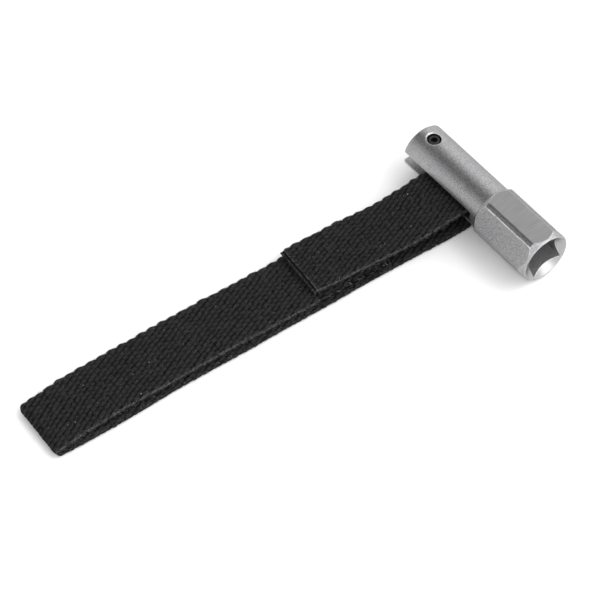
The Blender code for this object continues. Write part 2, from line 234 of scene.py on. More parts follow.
def width_at(s):
    """The webbing's width, in mm, at arc lengths s."""
    return np.interp(s, ROUTE_S, gaussian(ROUTE[:, 4]))


def gaussian(values):
    """The values with their steps evened out over WIDTH_REACH neighbours on each side."""
    kernel = bell(np.arange(-WIDTH_REACH, WIDTH_REACH + 1), WIDTH_REACH / 2.5)
    return np.convolve(np.pad(values, WIDTH_REACH, mode="edge"), kernel / kernel.sum(), "valid")


def s_where(y, part):
    """Arc length where the route passes y, on its top layer, lower run or upper run."""
    lowest = int(np.argmin(ROUTE[:, 1]))
    highest = int(np.argmax(ROUTE[:, 1]))
    rows = {"top": slice(0, highest), "lower": slice(highest, lowest), "upper": slice(lowest, len(ROUTE))}[part]
    ys, ss = ROUTE[rows, 1], ROUTE_S[rows]
    order = np.argsort(ys)
    return float(np.interp(y, ys[order], ss[order]))


S_SLOT_MOUTH = s_where(SLOT_MOUTH_Y, "top")
S_FOLD = float(ROUTE_S[int(np.argmin(ROUTE[:, 1]))])
S_UNDER_LAP = s_where(CUT_Y, "upper")
S_CORNER = float(ROUTE_S[int(np.argmax(ROUTE[:, 1]))])

# ---------------------------------------------------------------- weave
# The weave repeats on a slanted lattice: a float every PICK along the strap, in chains that step WALE / 2 sideways
# each time.
PICK = 2.2
WALE = 2.0
TILT = math.atan2(WALE / 2, PICK)

# one float: its place and turn vary, and so do its width and its height
FLOAT_SHIFT_ALONG = 0.32
FLOAT_SHIFT_ACROSS = 0.17
FLOAT_TURN = 0.10
FLOAT_HALF_LENGTH, FLOAT_END_POWER = 1.6, 2.4
FLOAT_HALF_WIDTH, FLOAT_WIDTH_CHANGE, FLOAT_SIDE_POWER = 1.06, 0.09, 2.2
FLOAT_HEIGHT, FLOAT_HEIGHT_CHANGE = 0.88, 0.16
# the slot beside each float, and the break between two picks
SLOT_HALF_WIDTH = 0.3
SLOT_HALF_LENGTH = 0.66
SLOT_DEPTH = 0.9
PICK_BREAK_DEPTH = 0.3
# the chains aren't quite straight, and those of the inner face lie to one side of the outer face's
CHAIN_WOBBLE_ALONG = 0.22
CHAIN_WOBBLE_ACROSS = 0.18
INNER_FACE_OFFSET = 0.6

JITTER_SIZE = 64
rng = np.random.default_rng(12)
JITTER = rng.uniform(-1, 1, (6, JITTER_SIZE, JITTER_SIZE))
# what each layer of JITTER varies in a float
SHIFT_ALONG, SHIFT_ACROSS, WIDTH, HEIGHT, TONE, TURN = range(6)
WAVES = [
    (rng.uniform(0.2, 0.5), rng.uniform(0.15, 0.5), rng.uniform(0, 6.28), rng.uniform(0, 6.28)) for _ in range(5)
]
WAVES_PEAK = 2.6


def wobble(s, u, k):
    """A slow unevenness, from -1 to 1."""
    total = np.zeros(np.broadcast(s, u).shape)
    for n, (fs, fu, ps, pu) in enumerate(WAVES):
        total = total + np.sin(fs * s * (1 + 0.3 * k) + ps * (k + 1)) * np.cos(fu * u + pu + k * n)
    return total / WAVES_PEAK


def weave(s, u, mirrored):
    """(height up to 1, tone from 0 to 1, depth of the slots from 0) of the woven face at s along and u across."""
    if mirrored:
        u = -u + INNER_FACE_OFFSET
    s = s + CHAIN_WOBBLE_ALONG * wobble(s, u, 0)
    u = u + CHAIN_WOBBLE_ACROSS * wobble(s, u, 1)
    c, d = math.cos(TILT), math.sin(TILT)
    best = np.zeros(s.shape)
    tone = np.zeros(s.shape)
    groove = np.zeros(s.shape)
    i0 = np.floor(s / PICK)
    for di in (-1, 0, 1, 2):
        i = i0 + di
        j0 = np.round((u + i * WALE / 2) / WALE)
        for dj in (-1, 0, 1):
            j = j0 + dj
            a, b = i.astype(int) % JITTER_SIZE, j.astype(int) % JITTER_SIZE
            ds = s - i * PICK - FLOAT_SHIFT_ALONG * JITTER[SHIFT_ALONG, a, b]
            du = u - (j * WALE - i * WALE / 2) - FLOAT_SHIFT_ACROSS * JITTER[SHIFT_ACROSS, a, b]
            turn = FLOAT_TURN * JITTER[TURN, a, b]
            along = ds * (c - turn * d) - du * (d + turn * c)
            side = ds * (d + turn * c) + du * (c - turn * d)
            half_width = FLOAT_HALF_WIDTH + FLOAT_WIDTH_CHANGE * JITTER[WIDTH, a, b]
            value = 1 - np.abs(along / FLOAT_HALF_LENGTH) ** FLOAT_END_POWER
            value = value - np.abs(side / half_width) ** FLOAT_SIDE_POWER
            height = np.sqrt(np.clip(value, 0, 1)) * (FLOAT_HEIGHT + FLOAT_HEIGHT_CHANGE * JITTER[HEIGHT, a, b])
            better = height > best
            best = np.where(better, height, best)
            tone = np.where(better, 0.5 + 0.5 * JITTER[TONE, a, b], tone)
            gap_side = side - 0.5 * WALE * c
            gap_along = along + 0.5 * WALE * d
            slot = np.exp(-((gap_side / SLOT_HALF_WIDTH) ** 2) - np.abs(gap_along / SLOT_HALF_LENGTH) ** 2.5)
            groove = np.maximum(groove, slot * (0.85 + 0.25 * JITTER[HEIGHT, b, a]))
    pick_break = np.abs(np.sin(np.pi * s / PICK)) ** 3
    return best - SLOT_DEPTH * groove - PICK_BREAK_DEPTH * pick_break, tone, groove


def ragged(u, step, row):
    """An unevenness from -1 to 1 along u, with a new value every step."""
    steps = u / step
    i = np.floor(steps).astype(int)
    f = steps - i
    return JITTER[row, i % JITTER_SIZE, 5] * (1 - f) + JITTER[row, (i + 1) % JITTER_SIZE, 5] * f


def scallop(s, period, depth, k):
    """Where the selvedge stands, in mm out from its mean line: one rounded step for each turn of the weft.

    k is 0 for one selvedge and 1 for the other, so that their steps differ.
    """
    s = s + 1.3 * k + 0.3 * wobble(s, 2.0 * k, k)
    turn = np.floor(s / period).astype(int) % JITTER_SIZE
    leaning = (s / period - np.floor(s / period)) ** 0.8
    bump = np.clip(np.sin(np.pi * leaning), 0, 1) ** 0.55
    size = 1 + 0.35 * JITTER[WIDTH, turn, 7 + k]
    mean = 0.62 - 0.2 * JITTER[SHIFT_ACROSS, turn, 9 + k]
    return depth * (size * bump - mean)


# ---------------------------------------------------------------- the webbing's surface
RELIEF = 0.42  # mm from the weave's slots to its floats
RELIEF_MIDDLE = 0.55

# the cut ends are melted: ridges and a crease run along them, as (mm from the cut, half width, mean, step, row,
# least, most) with the last five for their unevenness
MELTED_FULL, MELTED_NONE = 1.7, 2.6
END_RIDGES = [(0.25, 0.24, 0.62, 0.42, 0, 0.1, 1.3), (1.6, 0.26, 0.55, 0.5, 1, 0.05, 1.3)]
END_RIDGE_CHANGE = 0.75
END_CREASE = (0.9, 0.32, 0.95, 1.1, 2, 0.4, 1.3)
END_CREASE_CHANGE = 0.5
END_CREASE_DEPTH = 1.6
END_SHAKE, END_SHAKE_STEP, END_SHAKE_ROW = 0.13, 0.9, 3
END_RIDGE_HEIGHT = 0.14
END_ROUNDING = 0.8  # mm over which a cut end's faces round off
END_THINNING = 0.75
END_NARROWING = 0.25

# the weave is pulled flatter where it turns the prong's corner
CORNER_PULL, CORNER_PULL_REACH = 0.78, 11.0
CORNER_SHADE = 0.62

# depth in mm of the steps in the far and near selvedges, which are also thinner than the middle
FAR_SCALLOP, NEAR_SCALLOP = 0.72, 0.26
SELVEDGE_THINNING = 0.34

# painted shade on the weave: darker where it lies low, in its slots and under the layers' edges
SHADE_FLOOR, SHADE_RISE, SHADE_IN_SLOTS = 0.22, 0.85, 0.6
SHADE_UNDER_LAYERS = 0.9

# a box of stitches round the lap
STITCH_FIRST_Y = -68.5
STITCH_LAST_Y = -44.0
STITCH_HALF_SPAN = 7.5
STITCH_PITCH = 2.9
STITCH_PRESS = 0.13
STITCH_PRESS_REACH = 0.42
S_STITCH_FIRST = STITCH_FIRST_Y - CUT_Y
S_STITCH_LAST = STITCH_LAST_Y - CUT_Y


def stitch_press(s, u):
    """How far the lap's box of stitches pulls the webbing in, from 0 to 1."""
    across = np.minimum(np.abs(s - S_STITCH_FIRST), np.abs(s - S_STITCH_LAST))
    along = np.abs(np.abs(u) - STITCH_HALF_SPAN)
    inside_u = smooth(STITCH_HALF_SPAN + 0.5, STITCH_HALF_SPAN, np.abs(u))
    inside_s = smooth(S_STITCH_FIRST - 0.5, S_STITCH_FIRST, s) * smooth(S_STITCH_LAST + 0.5, S_STITCH_LAST, s)
    return np.maximum(bell(across, STITCH_PRESS_REACH) * inside_u, bell(along, STITCH_PRESS_REACH) * inside_s)


def end_line(shaky, U, line, change):
    """One ridge or crease along a cut end, from 0 to its greatest strength."""
    away, width, mean, step, row, least, most = line
    return bell(shaky - away, width) * np.clip(mean + change * ragged(U, step, row), least, most)


def webbing_rings(s_values):
    """The woven surface, as rings of points round its section at arc lengths s_values.

    It gives the points in mm, and for each of them s, u, painted shade, tone and a painted highlight, which the
    webbing's material reads as shade, tone and edge.
    """
    p, a, n = route_at(s_values)
    spread = (width_at(s_values) / WEB_WIDTH)[:, None]
    half = WEB_WIDTH / 2 - WEB_HALF_THICKNESS
    columns = int(round(2 * half / COLUMN_STEP))
    flat = np.linspace(-half, half, columns + 1)
    arc = np.linspace(0, math.pi, EDGE_SEGMENTS + 1)[1:-1]
    # once round the section: outer face, near selvedge, inner face, far selvedge
    selvedge = WEB_HALF_THICKNESS * np.sin(arc)
    u = np.concatenate([flat, half + selvedge, flat[::-1], -half - selvedge])
    w = np.concatenate([np.full(len(flat), 1.0), np.cos(arc), np.full(len(flat), -1.0), -np.cos(arc)])[None]
    nu = np.concatenate([np.zeros(len(flat)), np.sin(arc), np.zeros(len(flat)), -np.sin(arc)])[None]
    S = np.repeat(s_values[:, None], u.size, 1)
    U = np.repeat(u[None], len(s_values), 0)
    outer, tone_o, groove_o = weave(S, U, False)
    inner, tone_i, groove_i = weave(S, U, True)
    mix = (1 + w) / 2
    h = outer * mix + inner * (1 - mix)
    tone = np.where(mix > 0.5, tone_o, tone_i)
    groove = np.where(mix > 0.5, groove_o, groove_i)
    edge = np.abs(nu)
    near_edge = smooth(half - 1.0, half + 0.4, np.abs(U))

    # a cut end is melted smooth and a little shrunken
    sealed = np.zeros(S.shape)
    bead = np.zeros(S.shape)
    for end in (0.0, STRAP_LENGTH):
        away = np.abs(S - end)
        sealed = np.maximum(sealed, 1 - smooth(MELTED_FULL, MELTED_NONE, away))
        shaky = away + END_SHAKE * ragged(U, END_SHAKE_STEP, END_SHAKE_ROW)
        ridges = sum(end_line(shaky, U, line, END_RIDGE_CHANGE) for line in END_RIDGES)
        bead = bead + ridges - END_CREASE_DEPTH * end_line(shaky, U, END_CREASE, END_CREASE_CHANGE)
    pulled = CORNER_PULL * bell(S - S_CORNER, CORNER_PULL_REACH)

    relief = RELIEF * (h - RELIEF_MIDDLE) * (1 - 0.65 * edge) * (1 - 0.7 * sealed) * (1 - pulled)
    relief = relief + END_RIDGE_HEIGHT * bead - STITCH_PRESS * stitch_press(S, U) * (w > 0)
    to_end = np.clip(np.minimum(S, STRAP_LENGTH - S) / END_ROUNDING, 0, 1)
    round_off = 1 - (1 - np.sqrt(np.clip(1 - (1 - to_end) ** 2, 0, 1))) * END_THINNING
    thickness = WEB_HALF_THICKNESS * w * round_off * (1 - SELVEDGE_THINNING * near_edge)
    out = scallop(S, 2 * PICK, FAR_SCALLOP, 0) * (U < 0) + scallop(S, PICK, NEAR_SCALLOP, 1) * (U > 0)
    side = np.sign(U) * near_edge * out * (1 - 0.8 * sealed) * (1 - 0.7 * pulled)
    off_n = thickness + np.sign(w) * relief * (np.abs(w) ** 0.5)
    off_u = U * spread + side + np.sign(nu) * relief * edge - np.sign(U) * END_NARROWING * sealed * near_edge
    points = p[:, None] + a[:, None] * off_u[..., None] + n[:, None] * off_n[..., None]

    # painted shade: darker where the weave lies low and in its slots, flatter at the corner; at the melted ends the
    # ridges are painted lighter and the crease darker
    shade = np.clip(SHADE_FLOOR + SHADE_RISE * h, 0, 1) * (1 - SHADE_IN_SLOTS * np.clip(groove, 0, 1))
    shade = shade * (1 - 0.5 * pulled) + 0.5 * pulled * CORNER_SHADE
    shade = shade * (1 - sealed) + sealed * np.clip(0.45 + 0.6 * bead, 0.03, 1)
    # the near selvedge turns under, and its underside lies in the shade of the layers' edges
    layered = 1 - smooth(S_SLOT_MOUTH - 8, S_SLOT_MOUTH, S) + smooth(S_FOLD + 2, S_FOLD + 5, S)
    under = smooth(0.5, -0.15, w) * near_edge * (U > 0) * layered
    hidden = smooth(S_UNDER_LAP - 1, S_UNDER_LAP + 1, S) * near_edge * (U > 0)
    shade = shade * (1 - SHADE_UNDER_LAYERS * np.maximum(under, hidden))
    # painted highlight: the selvedges' outer rims, most on the near side and none under the lap, and the cut ends'
    # ridges are painted lighter
    rim = smooth(half - 0.25, half + 0.35, np.abs(U)) * np.clip(w + 0.35 * nu**2, 0, 1)
    rim = rim * (1 - smooth(0.7, 0.95, edge)) * (0.62 + 0.2 * ragged(S, 1.7, 4) + 0.3 * ragged(S, 0.45, 5))
    rim = rim * np.where(U > 0, 1.0, 0.4) * (1 - hidden)
    painted_highlight = np.maximum(rim, np.clip(0.2 + bead, 0, 1) * (bead > 0.15) * sealed)
    return points, S, U, np.clip(shade, 0, 1), tone, painted_highlight


def to_world(points):
    """Metres in the shared frame, from mm from the working zero."""
    return np.asarray(points, float) * MM + np.array(ZERO)


def mesh_object(name, points, faces, materials, smooth_angle):
    """An object from points in mm, shaded smooth but for the edges sharper than smooth_angle degrees."""
    mesh = bpy.data.meshes.new(name)
    mesh.from_pydata([tuple(p) for p in to_world(points)], [], faces)
    for m in materials:
        mesh.materials.append(m)
    mesh.polygons.foreach_set("use_smooth", [True] * len(mesh.polygons))
    mesh.set_sharp_from_angle(angle=math.radians(smooth_angle))
    mesh.update()
    obj = bpy.data.objects.new(name, mesh)
    bpy.context.scene.collection.objects.link(obj)
    return obj


def ring_faces(first, rings, around):
    """Faces between rings of points, with a cap on each end, for points that start at index first."""
    faces = []
    for k in range(rings - 1):
        for m in range(around):
            b0, b1 = first + around * k + m, first + around * k + (m + 1) % around
            faces.append((b0, b1, b1 + around, b0 + around))
    last = first + around * (rings - 1)
    faces.append(tuple(range(first + around - 1, first - 1, -1)))
    faces.append(tuple(range(last, last + around)))
    return faces


HAIRS_PER_MM = 11
HAIR_POINTS, HAIR_SIDES = 5, 3
HAIR_SELVEDGE_SHARE, HAIR_NEAR_SHARE, HAIR_OUTER_SHARE = 0.8, 0.62, 0.72
HAIR_LENGTHS, HAIR_RADII, HAIR_CURLS = (0.35, 1.1), (0.02, 0.042), (0.08, 0.4)
HAIR_FACE_REACH = 12  # from the strap's middle, for the fibres on its faces
LINT_PER_MM = 0.35
LINT_OUTER_SHARE = 0.7
LINT_SIZES = (0.06, 0.17)
LINT_REACH = 11.5
LINT_CORNERS = ((1, 0, 0), (-1, 0, 0), (0, 1, 0), (0, -1, 0), (0, 0, 1), (0, 0, -1))
LINT_FACES = ((0, 2, 4), (2, 1, 4), (1, 3, 4), (3, 0, 4), (2, 0, 5), (1, 2, 5), (3, 1, 5), (0, 3, 5))
END_MARGIN = 1.6  # mm at each end of a piece without fibres or lint


def hair_strands(s0, s1, seed):
    """Loose fibres that stand off the selvedges and, a few, off the faces: (points, faces)."""
    rnd = np.random.default_rng(seed)
    points, faces = [], []
    for _ in range(int((s1 - s0) * HAIRS_PER_MM)):
        s = rnd.uniform(s0 + END_MARGIN, s1 - END_MARGIN)
        at_selvedge = rnd.random() < HAIR_SELVEDGE_SHARE
        side = 1 if rnd.random() < HAIR_NEAR_SHARE else -1
        face = 1 if rnd.random() < HAIR_OUTER_SHARE else -1
        if at_selvedge:
            u = side * (WEB_WIDTH / 2 - abs(rnd.normal(0, 0.55)) - 0.15)
        else:
            u = rnd.uniform(-HAIR_FACE_REACH, HAIR_FACE_REACH)
        p, a, n = (v[0] for v in route_at([s]))
        t = np.cross(n, a)
        depth = max(0.0, abs(u) - (WEB_WIDTH / 2 - WEB_HALF_THICKNESS))
        lift = math.sqrt(max(0.0, WEB_HALF_THICKNESS**2 - depth**2))
        height = lift * (0.72 if at_selvedge else 1.0) + 0.03
        base = p + a * u * width_at([s])[0] / WEB_WIDTH + n * face * height
        out = a * side * (0.9 if at_selvedge else 0.1) * rnd.uniform(0.1, 1.0) + n * face * rnd.uniform(0.1, 0.6)
        swing = rnd.uniform(-1.2, 1.2)
        along = t * math.cos(swing) + a * math.sin(swing) * 0.8
        length = rnd.uniform(*HAIR_LENGTHS)
        radius = rnd.uniform(*HAIR_RADII)
        curl = rnd.uniform(*HAIR_CURLS)
        first = len(points)
        for k in range(HAIR_POINTS):
            f = k / (HAIR_POINTS - 1)
            arch = math.sin(math.pi * f * rnd.uniform(0.75, 1.0)) * curl
            centre = base + along * length * (f - 0.5) + out * arch
            for m in range(HAIR_SIDES):
                angle = 2 * math.pi * m / HAIR_SIDES
                points.append(centre + radius * (a * math.cos(angle) + n * math.sin(angle)))
        faces += ring_faces(first, HAIR_POINTS, HAIR_SIDES)
    return points, faces


def lint_specks(s0, s1, seed):
    """Small bits of lint on the faces: (points, faces)."""
    rnd = np.random.default_rng(seed)
    points, faces = [], []
    for _ in range(int((s1 - s0) * LINT_PER_MM)):
        s = rnd.uniform(s0 + END_MARGIN, s1 - END_MARGIN)
        u = rnd.uniform(-LINT_REACH, LINT_REACH)
        face = 1 if rnd.random() < LINT_OUTER_SHARE else -1
        p, a, n = (v[0] for v in route_at([s]))
        t = np.cross(n, a)
        centre = p + a * u + n * face * (WEB_HALF_THICKNESS + 0.06)
        size = rnd.uniform(*LINT_SIZES)
        first = len(points)
        for da, dn, dt in LINT_CORNERS:
            corner = a * da * rnd.uniform(0.6, 1.3) + n * dn * 0.5 + t * dt * rnd.uniform(0.6, 1.6)
            points.append(centre + size * corner)
        faces += [(first + i, first + j, first + k) for i, j, k in LINT_FACES]
    return points, faces


SKIN_SHARP_ANGLE = 55
CLOTH_UNIT = 10  # mm in one unit of the cloth's UV map


def webbing_piece(name, s0, s1, materials, seed):
    """One length of the webbing from s0 to s1, a closed skin with its loose fibres and lint."""
    count = max(2, int(round((s1 - s0) / RING_STEP)))
    rings_points, S, U, shade, tone, edge = webbing_rings(np.linspace(s0, s1, count + 1))
    rings, around = S.shape
    index = np.arange(rings * around).reshape(rings, around)
    a, b = index[:-1], index[1:]
    quads = np.stack([a, b, np.roll(b, -1, 1), np.roll(a, -1, 1)], -1).reshape(-1, 4)
    faces = [tuple(q) for q in quads.tolist()]
    points = rings_points.reshape(-1, 3).tolist()
    # each end is closed across the thickness, column by column
    turn = EDGE_SEGMENTS - 1
    half = (around - 2 * turn) // 2
    for row, flip in ((index[0], False), (index[-1], True)):
        row = row.tolist()
        top, near = row[:half], row[half : half + turn]
        bottom, far = row[half + turn : 2 * half + turn][::-1], row[2 * half + turn :]
        caps = [(top[i], top[i + 1], bottom[i + 1], bottom[i]) for i in range(half - 1)]
        caps.append(tuple([top[-1]] + near + [bottom[-1]]))
        caps.append(tuple([bottom[0]] + far + [top[0]]))
        faces += [c[::-1] if flip else c for c in caps]
    material_index = [0] * len(faces)
    skin = len(points)
    loose = (hair_strands(s0, s1, seed), lint_specks(s0, s1, seed + 1))
    for slot, (loose_points, loose_faces) in enumerate(loose, start=1):
        faces += [tuple(i + len(points) for i in f) for f in loose_faces]
        points += [list(q) for q in loose_points]
        material_index += [slot] * len(loose_faces)
    obj = mesh_object(name, points, faces, materials, SKIN_SHARP_ANGLE)
    mesh = obj.data
    mesh.polygons.foreach_set("material_index", material_index)
    extra = len(points) - skin
    # shade carries painted shade, and edge carries the painted highlight on the rims and the cut ends' ridges
    for label, values in (("shade", shade), ("tone", tone), ("edge", edge)):
        layer = mesh.attributes.new(label, "FLOAT", "POINT")
        layer.data.foreach_set("value", np.concatenate([values.ravel(), np.full(extra, 0.5)]).astype(np.float32))
    uv = mesh.uv_layers.new(name="cloth")
    loop_vertex = np.zeros(len(mesh.loops), np.int32)
    mesh.loops.foreach_get("vertex_index", loop_vertex)
    su = np.concatenate([np.stack([S.ravel(), U.ravel()], 1) / CLOTH_UNIT, np.zeros((extra, 2))])
    uv.data.foreach_set("uv", su[loop_vertex].ravel().astype(np.float32))
    return obj


# ---------------------------------------------------------------- materials
class Nodes:
    """A small helper that builds one material's node tree."""

    def __init__(self, name):
        self.material = bpy.data.materials.new(name)
        self.material.use_nodes = True
        self.tree = self.material.node_tree
        self.tree.nodes.clear()
        self.out = self.tree.nodes.new("ShaderNodeOutputMaterial")
        self.shader = self.tree.nodes.new("ShaderNodeBsdfPrincipled")
        self.tree.links.new(self.shader.outputs[0], self.out.inputs[0])

    def put(self, kind, inputs=None, **settings):
        node = self.tree.nodes.new(kind)
        for key, value in settings.items():
            setattr(node, key, value)
        for key, value in (inputs or {}).items():
            if isinstance(value, bpy.types.NodeSocket):
                self.tree.links.new(value, node.inputs[key])
            else:
                node.inputs[key].default_value = value
        return node

    def noise(self, vector, scale, detail=2.0, rough=0.5):
        inputs = {"Vector": vector, "Scale": scale, "Detail": detail, "Roughness": rough}
        return self.put("ShaderNodeTexNoise", inputs).outputs["Fac"]

    def math(self, operation, a, b=0.0, clamp=False):
        return self.put("ShaderNodeMath", {0: a, 1: b}, operation=operation, use_clamp=clamp).outputs[0]

    def times(self, a, b):
        return self.math("MULTIPLY", a, b)

    def plus(self, a, b):
        return self.math("ADD", a, b)

    def minus(self, a, b):
        return self.math("SUBTRACT", a, b)

    def length(self, a, b):
        """The length of a side a and a side b at right angles."""
        return self.math("SQRT", self.plus(self.times(a, a), self.times(b, b)))

    def ramp(self, value, low, high, to_low=0.0, to_high=1.0):
        inputs = {"Value": value, "From Min": low, "From Max": high, "To Min": to_low, "To Max": to_high}
        return self.put("ShaderNodeMapRange", inputs).outputs["Result"]

    def mix(self, factor, a, b):
        node = self.tree.nodes.new("ShaderNodeMix")
        node.data_type = "RGBA"
        for key, kind, value in (("Factor", "VALUE", factor), ("A", "RGBA", a), ("B", "RGBA", b)):
            socket = next(s for s in node.inputs if s.name == key and s.type == kind)
            if isinstance(value, bpy.types.NodeSocket):
                self.tree.links.new(value, socket)
            else:
                socket.default_value = (*value, 1.0) if kind == "RGBA" else value
        return next(s for s in node.outputs if s.type == "RGBA")

    def scaled(self, vector, scale):
        return self.put("ShaderNodeMapping", {"Vector": vector, "Scale": scale}).outputs[0]

    def set(self, **inputs):
        for key, value in inputs.items():
            socket = self.shader.inputs[key.replace("_", " ")]
            if isinstance(value, bpy.types.NodeSocket):
                self.tree.links.new(value, socket)
            else:
                socket.default_value = value
        return self.material


def webbing_material(name, dark, light, painted_highlight):
    """Woven cloth: the mesh's painted shade and tone by the float, a painted highlight on its rims and cut ends, and
    fine fibres over them.
    """
    n = Nodes(name)
    cloth = n.put("ShaderNodeUVMap", uv_map="cloth").outputs[0]
    shade = n.put("ShaderNodeAttribute", attribute_name="shade").outputs["Fac"]
    tone = n.put("ShaderNodeAttribute", attribute_name="tone").outputs["Fac"]
    edge = n.put("ShaderNodeAttribute", attribute_name="edge").outputs["Fac"]
    strands = n.noise(n.scaled(cloth, (20.0, 42.0, 1.0)), 1.0, 2.0, 0.6)
    fuzz = n.noise(cloth, 44.0, 1.0, 0.7)
    threads = n.plus(n.times(strands, 0.4), n.times(fuzz, 0.6))
    patches = n.noise(cloth, 0.9, 2.0)
    level = n.times(shade, n.ramp(tone, 0, 1, 0.83, 1.09))
    level = n.times(level, n.ramp(threads, 0.42, 0.60, 0.0, 2.0))
    level = n.times(level, n.ramp(patches, 0.3, 0.7, 0.93, 1.07))
    # painted highlight: the edge attribute lights up the rims and the cut ends' ridges and mixes them towards the
    # highlight colour
    level = n.math("MULTIPLY", level, n.ramp(edge, 0, 0.6, 1.0, 1.7), True)
    on_rim = n.times(n.ramp(edge, 0.3, 1.0, 0.0, 0.8), n.ramp(threads, 0.47, 0.6, 0.02, 1.0))
    bump = n.put("ShaderNodeBump", {"Height": threads, "Strength": 0.8, "Distance": 0.00012}).outputs[0]
    return n.set(
        Base_Color=n.mix(on_rim, n.mix(level, dark, light), painted_highlight),
        Roughness=n.ramp(threads, 0.3, 0.7, 0.62, 0.88),
        Normal=bump,
        Sheen_Weight=0.01,
        Sheen_Roughness=0.45,
        Specular_IOR_Level=0.05,
    )


def fibre_material(name, colour_a, colour_b, rough, sheen=0.3, specular=0.5):
    """Small fibres and threads, in colours between colour_a and colour_b."""
    n = Nodes(name)
    place = n.put("ShaderNodeTexCoord").outputs["Object"]
    noise = n.noise(place, 900.0, 2.0)
    return n.set(
        Base_Color=n.mix(n.ramp(noise, 0.35, 0.65), colour_a, colour_b),
        Roughness=rough,
        Sheen_Weight=sheen,
        Specular_IOR_Level=specular,
    )


# The steel body, in mm from the working zero and from its axis.
HEX_START = 41.7
HEX_FLAT = 10.5
BODY_LENGTH = 70.8
COUNTERSINK_RADIUS = 9.65
COUNTERSINK_SLOPE = 1.5
# The zones of its surface, in mm: (start, end) of a soft edge in each case.
HEX_FACE = (HEX_START, HEX_START + 0.3)  # along the body
FLAT_FACE = (HEX_FLAT - 0.16, HEX_FLAT - 0.1)  # above and below the axis
COUNTERSINK_SKIN = (0.15, 0.08)  # from the cone's surface
SCREW_HOLE = (3.35, 3.2)  # from the screw's axis
SOCKET_WALLS = (9.3, 9.2)  # from the body's axis
SOCKET_DEPTHS = (50.0, 51.0)  # along the body
STRIP_RADII = (11.36, 11.42)
# the painted highlight line along the corner strips and the dark line painted beside the machined flats, as heights
# above the axis
HIGHLIGHT_HEIGHT, HIGHLIGHT_WIDTHS = 9.42, (0.26, 0.12)
DARK_LINE_HEIGHTS = (10.2, 10.3)
EDGE_ROUNDING = 0.3


def grey(level, blue=0.0):
    return (level, level, level + blue)


